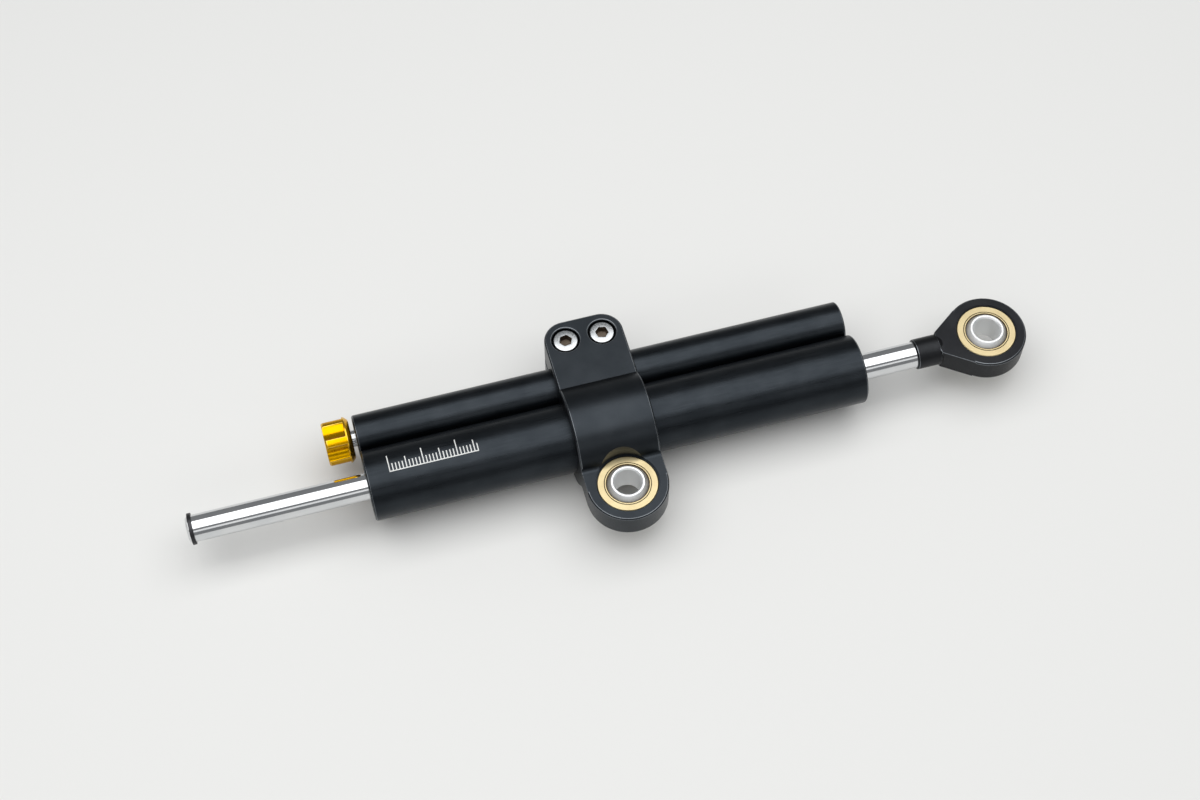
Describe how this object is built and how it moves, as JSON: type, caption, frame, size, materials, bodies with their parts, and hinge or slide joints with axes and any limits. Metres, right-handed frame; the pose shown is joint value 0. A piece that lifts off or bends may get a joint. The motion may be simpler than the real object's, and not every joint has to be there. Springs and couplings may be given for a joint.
{
  "type": "motorcycle steering damper",
  "caption": "Linear hydraulic steering damper: twin-tube body, through rod, gold adjuster knob, split clamp and rod end with spherical bearings.",
  "frame": {"origin": "centre of the spherical bearing in the clamp, on its bolt axis and at its mid width", "axes": "+X along the rod towards the rod end, +Y from the clamp's bearing towards the tubes, +Z along the bolt axis towards the heads of the clamp screws"},
  "size_m": [0.2556, 0.0667, 0.0296],
  "materials": {
    "black_anodised": "satin black anodised",
    "gold_anodised": "bright gold anodised",
    "plain_aluminium": "turned, clear anodised",
    "hard_chrome": "ground and hard chromed",
    "polished_ball": "polished bearing steel",
    "yellow_race": "yellow passivated",
    "liner": "bronze mesh with a sliding lining",
    "bronze": "turned bronze",
    "bright_steel": "bright zinc plated",
    "spring_steel": "phosphated spring steel",
    "rubber": "moulded nitrile rubber",
    "band_plastic": "bronze filled low friction plastic",
    "white_print": "white screen printed ink"
  },
  "bodies": {
    "cylinder": {"twin_tube_body": "black_anodised", "rod_guide_left": "plain_aluminium", "rod_guide_right": "plain_aluminium", "rod_bushings": "bronze", "rod_seals": "rubber", "rod_wipers": "rubber", "guide_o_rings": "rubber", "guide_clips": "spring_steel", "end_buffers": "rubber", "port_plugs": "bright_steel", "mount_clamp": "black_anodised", "clamp_screws": "bright_steel", "frame_bearing_race": "yellow_race", "frame_bearing_liner": "liner", "adjuster_housing": "plain_aluminium", "housing_o_ring": "rubber", "spindle_clip": "spring_steel", "valve_seat": "bronze", "compensator_spring": "spring_steel", "reservoir_plug": "plain_aluminium", "plug_o_ring": "rubber", "plug_clip": "spring_steel"},
    "frame_ball": {"frame_bearing_ball": "polished_ball"},
    "piston": {"piston": "plain_aluminium", "piston_band": "band_plastic"},
    "rod": {"piston_rod": "hard_chrome", "piston_clips": "spring_steel", "rod_stop_ring": "spring_steel", "rod_end": "black_anodised", "rod_end_race": "yellow_race", "rod_end_liner": "liner"},
    "rod_ball": {"rod_end_ball": "polished_ball"},
    "adjuster": {"adjuster_knob": "gold_anodised", "knob_screw": "bright_steel", "adjuster_spindle": "bright_steel", "spindle_o_ring": "rubber", "detent_ball": "polished_ball", "detent_spring": "spring_steel"},
    "needle": {"needle_carriage": "bright_steel"},
    "compensator": {"floating_piston": "plain_aluminium", "floating_piston_ring": "rubber"}
  },
  "joints": [
    {"name": "rod_slide", "type": "slide", "parent": "cylinder", "child": "piston", "axis": [1, 0, 0], "range_m": [-0.016, 0.052]},
    {"name": "rod_turn", "type": "hinge", "parent": "piston", "child": "rod", "pos_m": [0, 0.0211, 0], "axis": [1, 0, 0], "continuous": true},
    {"name": "rod_ball_spin", "type": "hinge", "parent": "rod", "child": "rod_ball", "pos_m": [0.1184, 0.0211, 0], "axis": [0, 0, 1], "continuous": true},
    {"name": "frame_ball_spin", "type": "hinge", "parent": "cylinder", "child": "frame_ball", "pos_m": [0, 0, 0], "axis": [0, 0, 1], "continuous": true},
    {"name": "knob_turn", "type": "hinge", "parent": "cylinder", "child": "adjuster", "pos_m": [0, 0.0379, 0], "axis": [1, 0, 0], "range_deg": [-165, 165]},
    {"name": "needle_slide", "type": "slide", "parent": "cylinder", "child": "needle", "axis": [1, 0, 0], "range_m": [-0.0007, 0.0007]},
    {"name": "compensator_slide", "type": "slide", "parent": "cylinder", "child": "compensator", "axis": [1, 0, 0], "range_m": [-0.002, 0.002], "stiffness_N_per_m": 2000, "deforming": ["compensator_spring"]}
  ],
  "couplings": [
    {"joint": "needle_slide", "follows": "knob_turn", "m_per_rad": 0.00023873}
  ]
}
